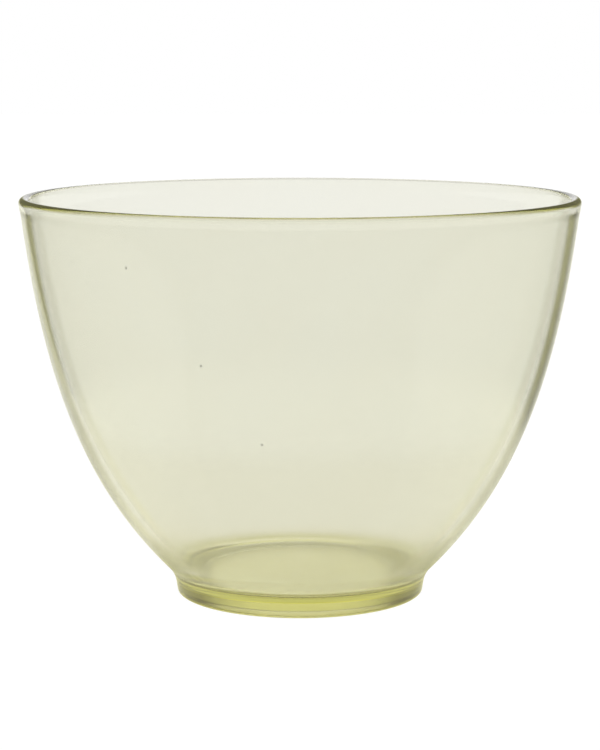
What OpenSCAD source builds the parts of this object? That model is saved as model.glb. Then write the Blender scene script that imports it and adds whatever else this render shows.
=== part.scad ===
// Rubber mixing bowl, one soft see-through moulding with no separate parts.
// A rounded rim tops a wall that thickens on its way down into a solid floor. The floor
// stands on a short drafted foot, hollowed underneath inside a standing ring.
// Millimetres, +Z up. The bowl's axis is Z and the standing ring lies on z = 0.

/* [Overall] */
// Outside diameter at the rim
rim_d = 130; // [110:1:170]
// Height from the table to the top of the rim
bowl_h = 93.5; // [80:0.5:125]

/* [Wall] */
// Thickness of the wall just under the rim's bead
rim_wall = 2.2; // [1.6:0.1:3.2]
// Thickness of the wall where it runs into the floor
heel_wall = 3; // [2.4:0.1:5]
// Lean of the wall at the rim, in degrees outward from vertical
flare_angle = 7; // [2:0.5:14]
// Lean of the wall above the foot, in degrees outward from vertical
flank_angle = 46; // [36:0.5:54]
// How far the flank's straight start reaches towards the rim, as a share of the way out
flank_reach_share = 0.67; // [0.5:0.01:0.8]
// How far the rim's straight start reaches down, as a share of the way down
flare_drop_share = 0.41; // [0.2:0.01:0.55]

/* [Rim] */
// Thickness of the rounded bead along the rim
bead_t = 2.5; // [2.2:0.1:3.6]
// Height over which the wall swells into the bead
bead_h = 3.2; // [2:0.1:6]

/* [Foot] */
// Diameter of the foot at the table, its side and the table drawn on to a sharp corner
foot_d = 58; // [48:1:68]
// Height of the corner between the foot's side and the flank, before the heel rounds it
foot_h = 5; // [4:0.1:8]
// Draft of the foot's side, in degrees
foot_draft = 9; // [2:0.5:15]
// Radius of the hollow heel between the foot's side and the flank
heel_r = 7.5; // [3:0.1:10]
// Radius of the foot's edge at the table
foot_edge_r = 0.7; // [0.3:0.1:1.2]
// Width of the standing ring, from the foot's edge radius to the hollow's lip
ring_w = 4; // [2.5:0.1:6]

/* [Floor] */
// Thickness of the floor at the middle of the bowl
floor_t = 4.4; // [3:0.1:7]
// Depth of the hollow under the floor
hollow_depth = 1; // [0.4:0.1:2]
// Width of the soft step from the standing ring up to the hollow's ceiling
hollow_step_w = 2.4; // [1:0.1:5]
// Radius of the corner between the floor and the wall, inside the bowl
floor_corner_r = 4; // [2:0.1:10]

/* [Hidden] */

// Facets of a full turn, and steps along the wall and round each small arc
turn_facets = 180;
wall_steps = 30;
arc_steps = 8;
// Halvings used to find where a fillet's circle touches a curve
halvings = 30;

// The foot's side runs from its corner at the table to the corner where the flank starts.
foot_corner = [foot_d / 2, 0];
flank_start = [foot_d / 2 + foot_h * tan(foot_draft), foot_h];

// The bead is a half circle across the wall's end, as thick as the bead.
bead_r = bead_t / 2;
bead_swell = (bead_t - rim_wall) / 2;
bead_centre = [rim_d / 2 - bead_r, bowl_h - bead_r];
flare_start = bead_centre + (bead_r - bead_swell) * square_to(leaning(flare_angle));

// The outer wall's four guide points. It leaves the foot along the flank's lean and meets
// the rim along the flare's lean.
way_out = flare_start.x - flank_start.x;
way_down = flare_start.y - flank_start.y;
wall_guides = [
    flank_start,
    flank_start + leaning(flank_angle) * way_out * flank_reach_share / sin(flank_angle),
    flare_start - leaning(flare_angle) * way_down * flare_drop_share / cos(flare_angle),
    flare_start
];

// Levels inside and under the floor
hollow_r = foot_d / 2 - foot_edge_r - ring_w;
floor_z = hollow_depth + floor_t;

// A direction leaning outward from vertical, and the direction square to it, outward
function leaning(angle) = [sin(angle), cos(angle)];
function square_to(v) = [v.y, -v.x];

// An even rise from 0 to 1 that starts and ends level
function eased(x) = let (c = min(max(x, 0), 1)) c * c * (3 - 2 * c);

// The point and the direction at share u of the way up a curve with four guide points
function curve_at(g, u) =
    pow(1 - u, 3) * g[0] + 3 * pow(1 - u, 2) * u * g[1] + 3 * (1 - u) * u * u * g[2] + pow(u, 3) * g[3];
function heading_at(g, u) =
    let (v = pow(1 - u, 2) * (g[1] - g[0]) + 2 * (1 - u) * u * (g[2] - g[1]) + u * u * (g[3] - g[2]))
    v / norm(v);

// The wall at share u of the way up: its plain outer point, the way out of it, the part of
// the bead's swelling there, and its thickness without the bead
function wall_point(u) = curve_at(wall_guides, u);
function wall_normal(u) = square_to(heading_at(wall_guides, u));
function swell_at(u) = bead_swell * eased(1 - (flare_start.y - wall_point(u).y) / bead_h);
function wall_t_at(u) = heel_wall + (rim_wall - heel_wall) * eased(u);
function outer_at(u) = wall_point(u) + wall_normal(u) * swell_at(u);
function inner_at(u) = wall_point(u) - wall_normal(u) * (wall_t_at(u) + swell_at(u));

// The share u at which a rising function f crosses zero
function root_of(f, low, high, n = halvings) =
    let (mid = (low + high) / 2)
    n == 0 ? mid : f(mid) > 0 ? root_of(f, low, mid, n - 1) : root_of(f, mid, high, n - 1);

// The share at which the bead starts to swell
bead_u = root_of(function (u) wall_point(u).y - flare_start.y + bead_h, 0, 1);

// Points round part of a circle
function arc(centre, r, from, to) =
    [for (i = [0 : arc_steps]) let (a = from + (to - from) * i / arc_steps) centre + r * [cos(a), sin(a)]];
function bearing(v) = atan2(v.y, v.x);

// The heel is a circle that touches the foot's side and the outer wall.
foot_out = square_to(leaning(foot_draft));
function heel_centre_at(u) = wall_point(u) + heel_r * wall_normal(u);
heel_u = root_of(function (u) (heel_centre_at(u) - flank_start) * foot_out - heel_r, 0, 1);
heel_centre = heel_centre_at(heel_u);

// The floor's corner is a circle that touches the inner wall and the floor. The search
// starts below the flank, where the wall's curve is drawn on inside the foot.
below_flank_share = -0.3;
function corner_centre_at(u) = wall_point(u) - wall_normal(u) * (wall_t_at(u) + floor_corner_r);
corner_u = root_of(function (u) corner_centre_at(u).y - floor_z - floor_corner_r, below_flank_share, 1);
corner_centre = corner_centre_at(corner_u);

// The foot's edge is a circle that touches the table and the foot's side.
edge_centre = [
    foot_corner.x - foot_edge_r * tan((90 - foot_draft) / 2),
    foot_edge_r
];

// Soft step from the hollow's ceiling down to the standing ring
function hollow_step() =
    [for (i = [0 : arc_steps])
        let (s = i / arc_steps)
        [hollow_r - hollow_step_w * (1 - s), hollow_depth * eased(1 - s)]];

function foot_outline() = concat(
    [[0, hollow_depth]],
    hollow_step(),
    arc(edge_centre, foot_edge_r, -90, -foot_draft),
    arc(heel_centre, heel_r, 180 - foot_draft, bearing(-wall_normal(heel_u)))
);
function stations(low) = concat(
    [for (i = [1 : wall_steps]) low + (bead_u - low) * i / wall_steps],
    [for (i = [1 : arc_steps - 1]) bead_u + (1 - bead_u) * i / arc_steps]
);
function outer_wall() = [for (u = stations(heel_u)) outer_at(u)];
function rim_outline() =
    let (level = [for (i = [0 : 2 * arc_steps - 1]) 90 * i / arc_steps])
    [for (a = concat([-flare_angle], level, [180 - flare_angle])) bead_centre + bead_r * [cos(a), sin(a)]];
function inner_wall() =
    let (up = stations(corner_u))
    [for (i = [len(up) - 1 : -1 : 0]) inner_at(up[i])];
function floor_outline() = concat(
    arc(corner_centre, floor_corner_r, bearing(wall_normal(corner_u)), -90),
    [[0, floor_z]]
);

// The whole bowl is one closed section turned round the axis.
module bowl() {
    color([0.86, 0.87, 0.66, 0.6])
        rotate_extrude($fn = turn_facets)
            polygon(concat(foot_outline(), outer_wall(), rim_outline(), inner_wall(), floor_outline()));
}

bowl();
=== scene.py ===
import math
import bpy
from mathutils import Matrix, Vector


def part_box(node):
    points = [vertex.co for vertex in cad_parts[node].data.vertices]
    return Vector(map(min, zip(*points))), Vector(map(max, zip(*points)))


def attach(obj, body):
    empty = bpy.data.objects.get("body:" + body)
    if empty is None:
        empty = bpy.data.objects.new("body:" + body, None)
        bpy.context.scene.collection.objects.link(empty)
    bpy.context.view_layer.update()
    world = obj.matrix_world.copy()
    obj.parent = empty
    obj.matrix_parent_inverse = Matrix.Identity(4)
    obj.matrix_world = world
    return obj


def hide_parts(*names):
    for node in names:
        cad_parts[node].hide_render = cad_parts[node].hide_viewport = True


bl_info = {
    "name": "Soft Clear Mixing Bowl",
    "version": (1, 0, 0),
    "blender": (4, 5, 0),
    "location": "3D View > Sidebar > Mixing Bowl",
    "description": "Turns a soft, see-through mixing bowl and sets up the plain pale studio around it",
    "category": "Add Mesh",
}

import bmesh
import bpy
from bpy.props import FloatProperty, FloatVectorProperty, IntProperty, PointerProperty
from mathutils import Vector

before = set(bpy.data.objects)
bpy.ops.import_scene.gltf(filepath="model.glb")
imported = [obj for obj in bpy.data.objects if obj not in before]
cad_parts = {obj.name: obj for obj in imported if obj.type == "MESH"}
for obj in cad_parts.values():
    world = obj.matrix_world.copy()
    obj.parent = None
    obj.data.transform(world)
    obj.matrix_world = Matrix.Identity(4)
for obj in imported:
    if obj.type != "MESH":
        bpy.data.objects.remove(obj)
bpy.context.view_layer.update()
BOWL_LOW, BOWL_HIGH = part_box("bowl")
BOWL_NODE = "bowl"

# Steps along the small curves of the section.
HOLLOW_STEPS = 20
EDGE_STEPS = 14
HEEL_STEPS = 24
SWELL_STEPS = 16
BEAD_STEPS = 32
CORNER_STEPS = 24
# Shares of the way up the foot's straight side at which it has a point.
SIDE_POINTS = (0.08, 0.5, 0.92)
# Each flat face has a point this close to its edge, in metres, so that its shading stays flat.
HAIR = 0.00015
# The corner inside is looked for from this share of the wall's curve, which is drawn on below the foot.
CORNER_SEARCH = -0.3
# Points nearer than these, in metres, become one: along the mirrored seams, and then everywhere.
SEAM_GAP = 1e-6
POINT_GAP = 1e-7

# Patterns in the skin. A higher scale makes smaller patches.
SMUDGE_PATTERN = {"Scale": 24.0, "Detail": 4.0, "Roughness": 0.6}
MOTTLE_PATTERN = {"Scale": 55.0, "Detail": 2.0}
RIPPLE_PATTERN = {"Scale": 160.0, "Detail": 1.0}
# Level of the smudge pattern at which a smudge starts and at which it is full.
SMUDGE_FROM = 0.45
SMUDGE_FULL = 0.7
# Widths in metres of the soft passages between one tint and the next.
FINE_FADE = 0.0002
STRIP_FADE = 0.0003
SOFT_FADE = 0.0004
WIDE_FADE = 0.0006
# The same round the foot's edge, as shares of its radius: above the hollow, across the edge, and where the
# painted shade of the side seen edge on starts and is full.
HOLLOW_CLEARANCE = 0.2
EDGE_FADE = 0.5
SIDE_FROM = 0.7
SIDE_FULL = 1.6
# The inner face's painted edge shade passes into the outer one's where the normal times the place away from
# the axis is between minus this and this, in metres.
FACE_TURN = 0.001
# Tiny dark specks in the wall: where they sit, their radius and how dark they are.
SPECKS = (
    ((-0.03665, -0.05182, 0.08193), 0.0004, 0.65),
    ((-0.02081, -0.05598, 0.06168), 0.0004, 0.58),
    ((-0.00806, -0.05416, 0.04448), 0.0004, 0.62),
    ((-0.04929, -0.04002, 0.08211), 0.0004, 0.35),
    ((-0.04585, -0.04295, 0.07778), 0.0004, 0.25),
)

# The light that comes up from the table by distance from the axis, as a share of TABLE_SPAN metres, painted
# into the table's glow: tinted light under the floor of the bowl, a painted shadow where the foot stands,
# painted shade just round it, nearly white far out.
TABLE_SPAN = 0.1
TABLE_LIGHT = (
    (0.00, (1.00, 0.97, 0.66)),
    (0.21, (1.00, 0.97, 0.66)),
    (0.24, (0.42, 0.39, 0.10)),
    (0.27, (0.50, 0.48, 0.24)),
    (0.29, (1.00, 0.98, 0.84)),
    (0.31, (1.00, 0.98, 0.84)),
    (0.34, (0.72, 0.70, 0.50)),
    (0.38, (0.78, 0.76, 0.58)),
    (0.48, (0.94, 0.92, 0.86)),
    (0.60, (0.96, 0.95, 0.92)),
)
# The table turns clear to what the bowl bends or mirrors between its reach and this many times as far.
TABLE_FADE = 1.5
# What the camera sees of the table: its own light, a little over white, and the paint that shows shadow.
WHITE = (1.0, 1.0, 1.0)
TABLE_GLOW = 1.05
TABLE_PAINT = (0.85, 0.85, 0.85)

# Directions in the studio, in degrees: each pair is where a passage starts and ends. Rise is up from level,
# aside is to either side of straight behind the bowl, and the window's sides count rightward from there.
HIGH_RISE = (22, 36)
LOW_RISE = (-40, -26)
LEVEL_RISE = (-4, 2)
LOW_ASIDE = (8, 29)
LIP_ASIDE = (6, 11)
FRONT_ASIDE = (14, 34)
WINDOW_LEFT = (-24, -18)
WINDOW_RIGHT = (-14, -8)
WINDOW_TOP = (-4, 6)
# How many degrees the window's left side moves to the right for each degree of rise.
WINDOW_SLANT = 0.9

# The camera's film width in millimetres, and the nearest distance that it sees in metres.
FILM_WIDTH = 36.0
NEAREST = 0.01


def length(name, description, default):
    return FloatProperty(name=name, description=description, default=default, min=0.0, unit="LENGTH")


def lean(name, description, degrees):
    return FloatProperty(name=name, description=description, default=math.radians(degrees), subtype="ANGLE")


def amount(name, description, default, least=0.0):
    return FloatProperty(name=name, description=description, default=default, min=least)


def count(name, description, default, least):
    return IntProperty(name=name, description=description, default=default, min=least)


def share(name, description, default):
    return FloatProperty(name=name, description=description, default=default, subtype="FACTOR",
                         min=0.0, max=1.0)


def tint(name, description, default):
    return FloatVectorProperty(name=name, description=description, default=default, subtype="COLOR",
                               size=3, min=0.0, max=1.0)


class BowlSizes(bpy.types.PropertyGroup):
    """Sizes of the moulding, the same ones that its solid is built from."""

    rim_across: length("Rim Diameter", "Outside diameter at the rim", BOWL_HIGH.x - BOWL_LOW.x)
    height: length("Height", "From the table to the top of the rim", BOWL_HIGH.z - BOWL_LOW.z)
    rim_wall: length("Wall at Rim", "Thickness of the wall just under the bead", 0.0022)
    heel_wall: length("Wall at Heel", "Thickness of the wall where it runs into the floor", 0.0030)
    flare_lean: lean("Flare", "Lean of the wall at the rim, outward from vertical", 7)
    flank_lean: lean("Flank", "Lean of the wall above the foot, outward from vertical", 46)
    flank_reach: share("Flank Reach", "How far the flank's straight start reaches towards the rim", 0.67)
    flare_drop: share("Flare Drop", "How far the rim's straight start reaches down", 0.41)
    bead_across: length("Bead Thickness", "Thickness of the rounded bead along the rim", 0.0025)
    bead_height: length("Bead Height", "Height over which the wall swells into the bead", 0.0032)
    foot_across: length("Foot Diameter", "Diameter of the foot, drawn on to a sharp corner", 0.058)
    foot_height: length("Foot Height", "Height of the corner between the foot and the flank", 0.005)
    foot_draft: lean("Foot Draft", "Draft of the foot's side", 9)
    heel_radius: length("Heel Radius", "Radius of the hollow heel between foot and flank", 0.0075)
    foot_edge: length("Foot Edge", "Radius of the foot's edge at the table", 0.0007)
    ring_width: length("Ring Width", "Width of the standing ring under the foot", 0.004)
    floor_depth: length("Floor Thickness", "Thickness of the floor at the middle", 0.0044)
    hollow_depth: length("Hollow Depth", "Depth of the hollow under the floor", 0.001)
    hollow_step: length("Hollow Step", "Width of the soft step into the hollow", 0.0024)
    corner_radius: length("Corner Radius", "Radius of the corner between floor and wall, inside", 0.004)
    turn_steps: count("Steps Round", "Steps in one full turn", 288, 24)
    wall_steps: count("Steps Up", "Steps from the heel to the bead", 64, 8)


class BowlLooks(bpy.types.PropertyGroup):
    """The finish of the clear soft moulding, with the shade and highlights painted into its tint."""

    skin: tint("Skin", "What each surface lets through", (0.918, 0.923, 0.883))
    mottle: tint("Mottle", "What the skin lets through where it is a little warmer", (0.918, 0.913, 0.86))
    # Painted shade: the dark tint where the wall is seen edge on, high up.
    edge_painted_shade: tint("Edge Skin", "What the skin lets through where it is seen edge on", (0.22, 0.21, 0.06))
    # The painted edge tint near the foot, where it is paler and yellower.
    painted_low_edge: tint("Low Edge Skin", "The same near the foot, where the edge is paler", (1.0, 0.97, 0.6))
    edge_from: share("Edge From", "How far from square on the edge's tint starts", 0.69)
    edge_full: share("Edge Full", "How far from square on the edge's tint is full", 0.77)
    edge_past: share("Edge Past", "How far from square on the dark edge starts to fade again", 0.82)
    edge_end: share("Edge End", "How far from square on the dark edge has faded", 0.93)
    edge_last: share("Edge Last", "How much of the dark edge is left then", 0.1)
    inner_edge: share("Inner Edge", "How much of the dark edge the inner face has", 0.4)
    edge_low: length("Edge Low", "Height up to which the edge is pale", 0.0)
    edge_high: length("Edge High", "Height from which the edge is dark", 0.06)
    # Painted shade: the dark olive line on the rim's bead where it is seen edge on.
    bead_painted_shade: tint("Bead Skin", "What the rim's bead lets in where it is seen edge on", (0.3, 0.285, 0.02))
    bead_from: share("Bead From", "How far from square on the bead's tint starts", 0.1)
    bead_full: share("Bead Full", "How far from square on the bead's tint is full", 0.6)
    # Painted highlight: a pale band right under the bead.
    under_bead_painted_highlight: tint("Under Bead", "What the band right under the bead lets through", (1.0, 1.0, 0.97))
    # Painted shade: the foot's side where it is seen edge on.
    foot_painted_shade: tint("Foot Skin", "What the foot's side lets through, seen edge on", (0.17, 0.16, 0.11))
    foot_from: share("Foot From", "How far from square on the foot's tint starts", 0.12)
    foot_full: share("Foot Full", "How far from square on the foot's tint is full", 0.48)
    side_skin: tint("Side Skin", "What the foot's side lets through", (0.955, 0.95, 0.77))
    side_top: length("Foot Skin Top", "Height up to which the foot's side has its own skin", 0.0045)
    side_fade: length("Foot Skin Fade", "Half the height over which it fades", 0.001)
    # Painted light: a bright yellow strip along the table, where light comes up from under the foot.
    strip_painted_light: tint("Strip Skin", "What the lowest strip of the foot lets through", (1.0, 0.97, 0.35))
    strip_top: length("Strip Top", "Height of that strip", 0.0014)
    # Painted shade in the fold between foot and flank.
    heel_painted_shade: tint("Heel Skin", "What the fold between foot and flank lets in", (0.5, 0.49, 0.25))
    heel_low: length("Heel Low", "Height of that fold's lower side", 0.0035)
    heel_high: length("Heel High", "Height of that fold's upper side", 0.0052)
    speck: tint("Speck", "Colour of the tiny specks in the moulding", (0.02, 0.018, 0.01))
    depth_tint: tint("Depth Tint", "Colour that thick material turns to", (0.8, 0.785, 0.0))
    depth_density: amount("Depth Density", "How soon the tint shows, per metre of material", 20.0)
    bending: amount("Refraction", "Index of refraction of the moulding", 1.5, 1.0)
    gloss: share("Roughness", "How rough the moulding's skin is", 0.04)
    smudge: share("Smudge", "How much rougher the skin is where it has been handled", 0.05)
    ripple: length("Ripple", "Depth of the faint waves in the skin", 0.000002)
    under_matt: share("Underside Roughness", "How rough the matt underside is", 0.15)
    side_matt: share("Foot Roughness", "How rough the foot's side is", 0.04)
    low_matt: share("Low Roughness", "How rough the moulding is round the floor", 0.12)
    low_reach: length("Low Reach", "Height up to which it is that rough; it fades over as much again", 0.01)
    haze: share("Haze", "How much of the light the whole skin scatters", 0.03)
    frost: tint("Frost", "Colour of what the skin scatters", (0.95, 0.93, 0.75))
    frosting: share("Frosting", "How much more of the light the underside scatters", 0.2)
    frost_through: share("Frost Through", "Share of the scattered light that goes through", 0.5)


class StudioSetup(bpy.types.PropertyGroup):
    """The plain pale studio and the camera in front of it."""

    camera_back: length("Camera Distance", "Level distance from the bowl's axis to the camera", 0.53274)
    camera_up: length("Camera Height", "Height of the camera above the table", 0.13193)
    camera_tilt: lean("Camera Tilt", "How far the camera looks down", 8.607)
    lens: amount("Lens", "Focal length in millimetres, for a film 36 mm along its long side", 110.06, 1.0)
    floor_span: length("Floor Size", "Side of the square floor", 6.0)
    floor_gap: length("Floor Gap", "How far the floor lies under the bowl", 0.0001)
    floor_shadow: share("Floor Shadow", "How much of its shadow the camera sees on the floor", 0.06)
    table_reach: length("Table Reach", "Distance up to which the bowl bends and mirrors the table", 0.12)
    table_warmth: tint("Table Warmth", "Tint of the table in what the bowl reflects", (0.98, 0.98, 0.78))
    dim_front: share("Dim Front", "Level of the upper studio to the sides, as the bowl reflects it", 0.28)
    dim_low: share("Dim Low", "Level of the lower studio to the sides, as the bowl reflects it", 0.28)
    dim_lip: share("Dim Lip", "Level of the upper studio that the rim's front edge reflects", 0.22)
    lip_tint: tint("Lip Tint", "Colour of the upper studio to the sides, as reflected", (1.0, 0.98, 0.55))
    low_warmth: share("Low Warmth", "How much of that colour the lower studio has", 0.4)
    high_loss: share("High Loss", "How much darker the bowl bends the studio from high up", 0.25)
    low_loss: share("Low Loss", "How much darker the bowl bends the studio from far down", 0.3)


# Plane geometry of the section. A point holds the distance from the axis and the height.
def leaning(angle):
    return Vector((math.sin(angle), math.cos(angle)))


def square_to(direction):
    return Vector((direction.y, -direction.x))


def bearing(direction):
    return math.atan2(direction.y, direction.x)


def eased(value):
    held = min(max(value, 0.0), 1.0)
    return held * held * (3.0 - 2.0 * held)


def root_of(rising, low, high, halvings=40):
    for _ in range(halvings):
        middle = (low + high) / 2
        if rising(middle) > 0:
            high = middle
        else:
            low = middle
    return (low + high) / 2


def arc(centre, radius, start, end, steps):
    turns = [start + (end - start) * i / steps for i in range(steps + 1)]
    return [centre + radius * Vector((math.cos(a), math.sin(a))) for a in turns]


def level_points(height, *distances):
    return [Vector((distance, height)) for distance in distances]


class BowlWall:
    """The wall's curve: plain outer face, thickness and the bead's swelling, by share of the way up."""

    def __init__(self, sizes):
        s = sizes
        self.sizes = s
        self.bead_radius = s.bead_across / 2
        self.bead_swell = (s.bead_across - s.rim_wall) / 2
        self.bead_centre = Vector((s.rim_across / 2 - self.bead_radius, s.height - self.bead_radius))
        self.foot_top = Vector((s.foot_across / 2 + s.foot_height * math.tan(s.foot_draft), s.foot_height))
        across = square_to(leaning(s.flare_lean))
        self.top = self.bead_centre + (self.bead_radius - self.bead_swell) * across
        way = self.top - self.foot_top
        flank_pull = way.x * s.flank_reach / math.sin(s.flank_lean)
        flare_pull = way.y * s.flare_drop / math.cos(s.flare_lean)
        self.guides = (
            self.foot_top,
            self.foot_top + leaning(s.flank_lean) * flank_pull,
            self.top - leaning(s.flare_lean) * flare_pull,
            self.top,
        )
        self.bead_start = root_of(lambda u: self.point(u).y - self.top.y + s.bead_height, 0, 1)

    def point(self, u):
        a, b, c, d = self.guides
        v = 1 - u
        return a * v**3 + b * (3 * v * v * u) + c * (3 * v * u * u) + d * u**3

    def outward(self, u):
        a, b, c, d = self.guides
        v = 1 - u
        heading = (b - a) * (v * v) + (c - b) * (2 * v * u) + (d - c) * (u * u)
        return square_to(heading.normalized())

    def swell(self, u):
        return self.bead_swell * eased(1 - (self.top.y - self.point(u).y) / self.sizes.bead_height)

    def thickness(self, u):
        return self.sizes.heel_wall + (self.sizes.rim_wall - self.sizes.heel_wall) * eased(u)

    def outer(self, u):
        return self.point(u) + self.outward(u) * self.swell(u)

    def inner(self, u):
        return self.point(u) - self.outward(u) * (self.thickness(u) + self.swell(u))

    def stations(self, low):
        """Shares from just above low up to just under the rim, closer together along the bead."""
        up = self.sizes.wall_steps
        plain = [low + (self.bead_start - low) * i / up for i in range(1, up + 1)]
        left = 1 - self.bead_start
        return plain + [self.bead_start + left * i / SWELL_STEPS for i in range(1, SWELL_STEPS)]


def bowl_section(sizes):
    """Points of the whole section from the middle of the underside round to the middle of the floor."""
    s = sizes
    wall = BowlWall(s)
    quarter = math.pi / 2
    hollow_radius = s.foot_across / 2 - s.foot_edge - s.ring_width
    floor_level = s.hollow_depth + s.floor_depth
    step_in = hollow_radius - s.hollow_step
    edge_inset = s.foot_edge * math.tan((quarter - s.foot_draft) / 2)
    edge_centre = Vector((s.foot_across / 2 - edge_inset, s.foot_edge))
    foot_out = square_to(leaning(s.foot_draft))

    def heel_at(u):
        return wall.point(u) + s.heel_radius * wall.outward(u)

    def corner_at(u):
        return wall.point(u) - wall.outward(u) * (wall.thickness(u) + s.corner_radius)

    heel_share = root_of(lambda u: (heel_at(u) - wall.foot_top).dot(foot_out) - s.heel_radius, 0, 1)
    heel_centre = heel_at(heel_share)
    heel_top = bearing(-wall.outward(heel_share))
    corner_share = root_of(lambda u: corner_at(u).y - floor_level - s.corner_radius, CORNER_SEARCH, 1)
    corner_centre = corner_at(corner_share)
    corner_top = bearing(wall.outward(corner_share))

    under = level_points(s.hollow_depth, 0, step_in / 2, step_in - HAIR)
    falls = [1 - i / HOLLOW_STEPS for i in range(HOLLOW_STEPS + 1)]
    step = [Vector((hollow_radius - s.hollow_step * u, s.hollow_depth * eased(u))) for u in falls]
    ring = level_points(0, hollow_radius + HAIR, edge_centre.x - HAIR)
    edge = arc(edge_centre, s.foot_edge, -quarter, -s.foot_draft, EDGE_STEPS)
    heel = arc(heel_centre, s.heel_radius, math.pi - s.foot_draft, heel_top, HEEL_STEPS)
    side = [edge[-1].lerp(heel[0], u) for u in SIDE_POINTS]
    outside = [wall.outer(u) for u in wall.stations(heel_share)]
    rim = arc(wall.bead_centre, wall.bead_radius, -s.flare_lean, math.pi - s.flare_lean, BEAD_STEPS)
    inside = [wall.inner(u) for u in reversed(wall.stations(corner_share))]
    corner = arc(corner_centre, s.corner_radius, corner_top, -quarter, CORNER_STEPS)
    flat = level_points(floor_level, corner_centre.x - HAIR, corner_centre.x / 2, 0)
    return under + step + ring + edge + side + heel + outside + rim + inside + corner + flat


def finished_mesh(bm, name):
    mesh = bpy.data.meshes.new(name)
    bm.to_mesh(mesh)
    bm.free()
    return mesh


def turned_mesh(name, section, steps):
    """A closed smooth mesh: a quarter turn of the section, mirrored twice to go all the way round."""
    bm = bmesh.new()
    verts = [bm.verts.new((p.x, 0.0, p.y)) for p in section]
    edges = [bm.edges.new(pair) for pair in zip(verts, verts[1:])]
    bmesh.ops.spin(bm, geom=verts + edges, cent=(0, 0, 0), axis=(0, 0, 1), angle=math.tau / 4,
                   steps=steps // 4, use_merge=False)
    for side in ("X", "Y"):
        bmesh.ops.mirror(bm, geom=bm.verts[:] + bm.edges[:] + bm.faces[:], axis=side, merge_dist=SEAM_GAP)
    bmesh.ops.remove_doubles(bm, verts=bm.verts[:], dist=POINT_GAP)
    bmesh.ops.recalc_face_normals(bm, faces=bm.faces[:])
    for face in bm.faces:
        face.smooth = True
    return finished_mesh(bm, name)


def placed(name, data):
    """A new object in the scene, at the origin."""
    thing = bpy.data.objects.new(name, data)
    bpy.context.scene.collection.objects.link(thing)
    return thing


class Wire:
    """A shader socket that Python's operators work on: each one adds a Math node."""

    def __init__(self, board, socket):
        self.board = board
        self.socket = socket

    def math(self, operation, *others):
        return self.board.add("ShaderNodeMath", {"operation": operation}, self, *others)

    def __add__(self, other):
        return self.math("ADD", other)

    __radd__ = __add__

    def __sub__(self, other):
        return self.math("SUBTRACT", other)

    def __rsub__(self, other):
        return self.board.add("ShaderNodeMath", {"operation": "SUBTRACT"}, other, self)

    def __mul__(self, other):
        return self.math("MULTIPLY", other)

    __rmul__ = __mul__

    def eased_between(self, low, high, start=0.0, end=1.0):
        """Start below low, end above high and a soft passage between them."""
        settings = {"interpolation_type": "SMOOTHSTEP"}
        return self.board.add("ShaderNodeMapRange", settings, self, low, high, start, end)

    def falling(self, low, high):
        """1 below low, 0 above high and a soft passage between them."""
        return self.eased_between(low, high, 1.0, 0.0)


class Board:
    """The node tree of one material or world, with one method that adds any node to it."""

    def __init__(self, owner):
        owner.use_nodes = True
        self.tree = owner.node_tree
        self.tree.nodes.clear()

    def node(self, kind, settings=None, inputs=None):
        """Adds a node, sets it up, then gives its sockets their links, numbers or three-number colours."""
        node = self.tree.nodes.new(kind)
        for key, value in (settings or {}).items():
            if key == "stops":
                self.set_stops(node.color_ramp, value)
            else:
                setattr(node, key, value)
        for key, value in (inputs or {}).items():
            socket = node.inputs[key]
            if isinstance(value, Wire):
                self.tree.links.new(value.socket, socket)
            elif socket.type == "RGBA":
                socket.default_value = (*value, 1.0)
            else:
                socket.default_value = value
        return node

    def set_stops(self, ramp, stops):
        while len(ramp.elements) > 1:
            ramp.elements.remove(ramp.elements[-1])
        for i, (place, colour) in enumerate(stops):
            element = ramp.elements[0] if i == 0 else ramp.elements.new(place)
            element.position = place
            element.color = (*colour, 1.0)

    def out(self, node, name=0):
        return Wire(self, node.outputs[name])

    def add(self, kind, settings, *values):
        """Adds a node with its first sockets filled in order, and returns its first output."""
        return self.out(self.node(kind, settings, dict(enumerate(values))))

    def vector(self, operation, *values, out="Vector"):
        """A Vector Math node's result. Where that is a number, out is Value."""
        node = self.node("ShaderNodeVectorMath", {"operation": operation}, dict(enumerate(values)))
        return self.out(node, out)

    def noise(self, place, pattern):
        return self.out(self.node("ShaderNodeTexNoise", None, {"Vector": place, **pattern}))

    def mixed_tint(self, factor, first, second, blend="MIX"):
        settings = {"data_type": "RGBA", "blend_type": blend}
        mix = self.node("ShaderNodeMix", settings, {"Factor": factor, 6: first, 7: second})
        return self.out(mix, 2)

    def shader(self, kind, inputs=None):
        return self.out(self.node(kind, None, inputs))

    def mixed_shader(self, factor, first, second):
        return self.add("ShaderNodeMixShader", None, factor, first, second)


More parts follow.
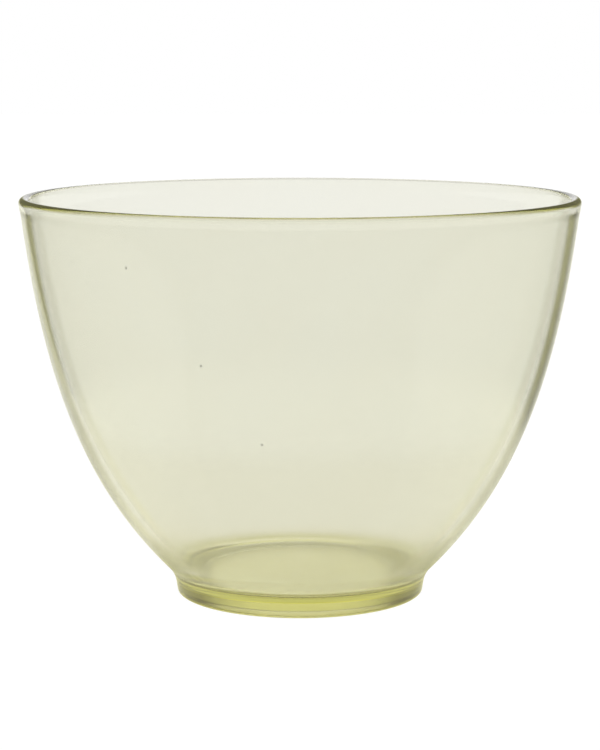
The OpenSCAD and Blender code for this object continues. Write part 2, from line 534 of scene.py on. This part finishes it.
class BowlSkin:
    """The skin's tint, with painted shade and highlights, and its roughness, by where a point of it is and
    how light meets it there.
    """

    def __init__(self, board, looks, sizes):
        self.board = board
        self.looks = looks
        self.sizes = sizes
        self.place = board.out(board.node("ShaderNodeTexCoord"), "Object")
        self.height = board.out(board.node("ShaderNodeSeparateXYZ", None, {0: self.place}), "Z")
        level_place = board.vector("MULTIPLY", self.place, (1.0, 1.0, 0.0))
        self.away = board.vector("LENGTH", level_place, out="Value")
        self.facing = board.out(board.node("ShaderNodeLayerWeight"), "Facing")
        geometry = board.node("ShaderNodeNewGeometry")
        self.entering = 1.0 - board.out(geometry, "Backfacing")
        turned = board.vector("DOT_PRODUCT", board.out(geometry, "Normal"), level_place, out="Value")
        self.outward = turned * (2.0 * self.entering - 1.0)

        # Masks from 0 to 1 for the underside, the foot's side and the rougher part round the floor.
        edge_fade = EDGE_FADE * sizes.foot_edge
        under_level = sizes.hollow_depth + HOLLOW_CLEARANCE * sizes.foot_edge
        self.ring_out = sizes.foot_across / 2 - sizes.foot_edge
        under = self.height.falling(under_level, under_level + edge_fade)
        self.underside = under * self.away.falling(self.ring_out, self.ring_out + edge_fade)
        side_low = self.height.falling(looks.side_top - looks.side_fade, looks.side_top + looks.side_fade)
        self.side = side_low * self.away.eased_between(self.ring_out - edge_fade, self.ring_out)
        self.low = self.height.falling(looks.low_reach, looks.low_reach * 2) * (1.0 - self.side)

    def wall_tint(self):
        """A faint mottle, with painted shade and light: seen edge on, it is painted pale low down, dark
        high up and dark on the rim's bead, and a band just under the bead has a painted highlight.
        """
        board, looks, sizes = self.board, self.looks, self.sizes
        # Painted shade and light seen edge on: a pale yellow tint low down, a dark one high up, fainter on
        # the inner face.
        edge = self.facing.eased_between(looks.edge_from, looks.edge_full)
        edge_height = self.height.eased_between(looks.edge_low, looks.edge_high)
        painted_pale_edge_mask = edge * (1.0 - edge_height) * (1.0 - self.low)
        fading = self.facing.eased_between(looks.edge_past, looks.edge_end, 1.0, looks.edge_last)
        outer_face = self.outward.eased_between(-FACE_TURN, FACE_TURN, looks.inner_edge, 1.0)
        painted_edge_shade = edge * edge_height * fading * outer_face

        middle = (sizes.rim_across - sizes.bead_across) / 2
        bead_half = sizes.height - sizes.bead_across / 2
        bead_low = sizes.height - sizes.bead_across
        outer_half = self.entering * self.away.eased_between(middle - SOFT_FADE, middle + SOFT_FADE)
        # Painted highlight: a pale band just under the bead, on its outer half.
        below = outer_half * self.height.eased_between(bead_low - SOFT_FADE, bead_low + SOFT_FADE)
        below = below * self.height.falling(bead_half - FINE_FADE, bead_half + FINE_FADE)
        # Painted shade on the bead's outer half where it is seen edge on.
        bead = outer_half * self.height.eased_between(bead_half, bead_half + WIDE_FADE)
        bead = bead * self.facing.eased_between(looks.bead_from, looks.bead_full)

        colour = board.mixed_tint(board.noise(self.place, MOTTLE_PATTERN), looks.skin, looks.mottle)
        colour = board.mixed_tint(painted_pale_edge_mask, colour, looks.painted_low_edge)
        colour = board.mixed_tint(painted_edge_shade, colour, looks.edge_painted_shade)
        colour = board.mixed_tint(below, colour, looks.under_bead_painted_highlight)
        return board.mixed_tint(bead, colour, looks.bead_painted_shade)

    def side_tint(self):
        """The foot's side, with painted light in a bright yellow strip along the table. It has painted
        shade where it is seen edge on.
        """
        board, looks, foot_edge = self.board, self.looks, self.sizes.foot_edge
        # Painted light: the lowest strip of the foot is brighter and yellower.
        strip = self.height.falling(looks.strip_top, looks.strip_top + STRIP_FADE)
        # Painted shade where the side is seen edge on.
        edge = self.facing.eased_between(looks.foot_from, looks.foot_full)
        edge = edge * self.height.eased_between(SIDE_FROM * foot_edge, SIDE_FULL * foot_edge)
        colour = board.mixed_tint(strip, looks.side_skin, looks.strip_painted_light)
        return board.mixed_tint(edge, colour, looks.foot_painted_shade)

    def heel(self):
        """Where painted shade darkens the fold between foot and flank, on the side that light enters by."""
        looks = self.looks
        fold = self.height.eased_between(looks.heel_low, looks.heel_low + SOFT_FADE)
        fold = fold * self.height.falling(looks.heel_high, looks.heel_high + WIDE_FADE)
        return fold * self.entering * self.away.eased_between(self.ring_out, self.ring_out + FINE_FADE)

    def tint(self):
        board, looks = self.board, self.looks
        colour = board.mixed_tint(self.side, self.wall_tint(), self.side_tint())
        # Painted shade in the fold between foot and flank.
        colour = board.mixed_tint(self.heel(), colour, looks.heel_painted_shade)
        for spot, radius, depth in SPECKS:
            off = board.vector("DISTANCE", self.place, spot, out="Value")
            dark = off.eased_between(radius / 2, radius, depth, 0.0)
            colour = board.mixed_tint(dark, colour, looks.speck)
        return colour

    def roughness(self):
        looks = self.looks
        pattern = self.board.noise(self.place, SMUDGE_PATTERN)
        smudges = pattern.eased_between(SMUDGE_FROM, SMUDGE_FULL, 0.0, looks.smudge)
        return (looks.gloss + smudges + (looks.under_matt - looks.low_matt) * self.underside
                + (looks.low_matt - looks.gloss) * self.low + (looks.side_matt - looks.gloss) * self.side)


def clear_moulding(looks, sizes):
    """Clear soft material with a pale tint that deepens with thickness. It scatters a little light, and
    more on its partly matt underside."""
    material = bpy.data.materials.new("clear_soft_moulding")
    board = Board(material)
    skin = BowlSkin(board, looks, sizes)
    waves = board.node("ShaderNodeBump", None, {
        "Strength": 1.0,
        "Distance": looks.ripple,
        "Height": board.noise(skin.place, RIPPLE_PATTERN),
    })
    surface = board.shader("ShaderNodeBsdfPrincipled", {
        "Base Color": skin.tint(),
        "Normal": board.out(waves),
        "Roughness": skin.roughness(),
        "IOR": looks.bending,
        "Transmission Weight": 1.0,
    })
    back = board.shader("ShaderNodeBsdfDiffuse", {"Color": looks.frost})
    through = board.shader("ShaderNodeBsdfTranslucent", {"Color": looks.frost})
    scattering = board.mixed_shader(looks.frost_through, back, through)
    whole = board.mixed_shader(looks.haze + skin.underside * looks.frosting, surface, scattering)
    body = board.shader("ShaderNodeVolumeAbsorption", {
        "Color": looks.depth_tint,
        "Density": looks.depth_density,
    })
    board.node("ShaderNodeOutputMaterial", None, {"Surface": whole, "Volume": body})
    return material


def ray_kinds(board):
    """Which rays come from the camera, which were mirrored and which went through the bowl. A ray that
    goes through counts as glossy too, so the mirrored ones are the other glossy rays."""
    path = board.node("ShaderNodeLightPath")
    through = board.out(path, "Is Transmission Ray")
    mirrored = board.out(path, "Is Glossy Ray") * (1.0 - through)
    return board.out(path, "Is Camera Ray"), mirrored, through


def white_floor(studio):
    """A white table top. The camera sees it as a seamless ground with a faint shadow, and from below it is
    clear. The bowl is lit by TABLE_LIGHT's rings. Rays that the bowl bends or mirrors pass through the
    table far out, and meet the white studio there."""
    material = bpy.data.materials.new("white_floor")
    board = Board(material)
    from_camera, mirrored, through = ray_kinds(board)
    clear = board.shader("ShaderNodeBsdfTransparent")
    place = board.out(board.node("ShaderNodeTexCoord"), "Object")
    away = board.vector("LENGTH", place, out="Value")
    # Painted light and shadow on the table: tinted light under the bowl, a dark ring where the foot stands.
    ring = board.node("ShaderNodeValToRGB", {"stops": TABLE_LIGHT}, {0: away * (1.0 / TABLE_SPAN)})
    light = board.mixed_tint(mirrored, board.out(ring, "Color"), studio.table_warmth, "MULTIPLY")
    shine = board.shader("ShaderNodeEmission", {"Color": light})
    far = away.eased_between(studio.table_reach, studio.table_reach * TABLE_FADE)
    lit = board.mixed_shader((mirrored + through) * far, shine, clear)
    glow = board.shader("ShaderNodeEmission", {"Color": WHITE, "Strength": TABLE_GLOW})
    paint = board.shader("ShaderNodeBsdfDiffuse", {"Color": TABLE_PAINT})
    seen = board.mixed_shader(studio.floor_shadow, glow, paint)
    whole = board.mixed_shader(from_camera, lit, seen)
    beneath = board.out(board.node("ShaderNodeNewGeometry"), "Backfacing")
    sided = board.mixed_shader(beneath * from_camera, whole, clear)
    board.node("ShaderNodeOutputMaterial", None, {"Surface": sided})
    return material


def studio_world(studio):
    """White light from all round. What the bowl mirrors from the sides is darker and warmer, save for a
    window on the left, and what it bends from high up or far down is darker too."""
    world = bpy.data.worlds.new("pale_studio")
    bpy.context.scene.world = world
    board = Board(world)
    place = board.out(board.node("ShaderNodeTexCoord"), "Generated")
    parts = board.node("ShaderNodeSeparateXYZ", None, {0: place})
    bearing_round = board.out(parts, "X").math("ARCTAN2", board.out(parts, "Y"))
    rise = board.out(parts, "Z").math("ARCSINE")
    aside = bearing_round.math("ABSOLUTE")
    _, mirrored, through = ray_kinds(board)

    def between(value, degrees, start=0.0, end=1.0):
        low, high = [math.radians(angle) for angle in degrees]
        return value.eased_between(low, high, start, end)

    steep = between(rise, HIGH_RISE, 0.0, studio.high_loss) + between(rise, LOW_RISE, studio.low_loss, 0.0)
    upper = between(rise, LEVEL_RISE)
    low_level = between(aside, LOW_ASIDE, 1.0, studio.dim_low)
    high_level = between(aside, LIP_ASIDE, 1.0 - studio.dim_lip, 0.0)
    high_level = high_level + between(aside, FRONT_ASIDE, studio.dim_lip, studio.dim_front)
    window = between(bearing_round - rise * WINDOW_SLANT, WINDOW_LEFT)
    window = window * between(bearing_round, WINDOW_RIGHT, 1.0, 0.0) * between(rise, WINDOW_TOP, 1.0, 0.0)
    level = (low_level + (high_level - low_level) * upper).math("MAXIMUM", window)
    lost = through * steep + mirrored * (1.0 - level)
    warm = mirrored * between(aside, LIP_ASIDE) * (studio.low_warmth + (1.0 - studio.low_warmth) * upper)
    colour = board.mixed_tint(warm, WHITE, studio.lip_tint)
    sky = board.shader("ShaderNodeBackground", {"Color": colour, "Strength": 1.0 - lost})
    board.node("ShaderNodeOutputWorld", None, {"Surface": sky})


class MIXINGBOWL_OT_turn_bowl(bpy.types.Operator):
    """Turn the bowl's section round its axis and give it its clear finish"""

    bl_idname = "mixing_bowl.turn_bowl"
    bl_label = "Turn Bowl"

    def execute(self, context):
        sizes = context.scene.bowl_sizes
        mesh = turned_mesh("clear_bowl", bowl_section(sizes), sizes.turn_steps)
        mesh.materials.append(clear_moulding(context.scene.bowl_looks, sizes))
        piece = placed("clear_bowl", mesh)
        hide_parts(BOWL_NODE)
        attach(piece, "root")
        return {"FINISHED"}


class MIXINGBOWL_OT_set_studio(bpy.types.Operator):
    """Lay the pale floor, light it and set up the camera"""

    bl_idname = "mixing_bowl.set_studio"
    bl_label = "Set Studio"

    def execute(self, context):
        studio = context.scene.bowl_studio
        bm = bmesh.new()
        bmesh.ops.create_grid(bm, x_segments=1, y_segments=1, size=studio.floor_span / 2)
        bmesh.ops.translate(bm, verts=bm.verts[:], vec=(0, 0, -studio.floor_gap))
        mesh = finished_mesh(bm, "pale_floor")
        mesh.materials.append(white_floor(studio))
        floor = placed("pale_floor", mesh)
        studio_world(studio)
        eye = bpy.data.cameras.new("front_camera")
        eye.sensor_width = FILM_WIDTH
        eye.lens = studio.lens
        eye.clip_start = NEAREST
        camera = placed("front_camera", eye)
        camera.location = (0.0, -studio.camera_back, studio.camera_up)
        camera.rotation_euler = (math.pi / 2 - studio.camera_tilt, 0.0, 0.0)
        context.scene.camera = camera
        context.scene.view_settings.view_transform = "Standard"
        return {"FINISHED"}


class MIXINGBOWL_PT_panel(bpy.types.Panel):
    """The buttons that make the bowl and its studio, and all that can be set"""

    bl_idname = "MIXINGBOWL_PT_panel"
    bl_label = "Mixing Bowl"
    bl_space_type = "VIEW_3D"
    bl_region_type = "UI"
    bl_category = "Mixing Bowl"

    def draw(self, context):
        for operator in OPERATORS:
            self.layout.operator(operator.bl_idname)
        for group in GROUPS:
            column = self.layout.column()
            settings = getattr(context.scene, group)
            for name in GROUPS[group].__annotations__:
                column.prop(settings, name)


GROUPS = {"bowl_sizes": BowlSizes, "bowl_looks": BowlLooks, "bowl_studio": StudioSetup}
OPERATORS = (MIXINGBOWL_OT_turn_bowl, MIXINGBOWL_OT_set_studio)


def register():
    for group in GROUPS:
        bpy.utils.register_class(GROUPS[group])
        setattr(bpy.types.Scene, group, PointerProperty(type=GROUPS[group]))
    for operator in OPERATORS:
        bpy.utils.register_class(operator)
    bpy.utils.register_class(MIXINGBOWL_PT_panel)


def unregister():
    bpy.utils.unregister_class(MIXINGBOWL_PT_panel)
    for operator in reversed(OPERATORS):
        bpy.utils.unregister_class(operator)
    for group in GROUPS:
        delattr(bpy.types.Scene, group)
        bpy.utils.unregister_class(GROUPS[group])


def main():
    register()
    bpy.ops.mixing_bowl.turn_bowl()
    bpy.ops.mixing_bowl.set_studio()


if __name__ == "__main__":
    main()
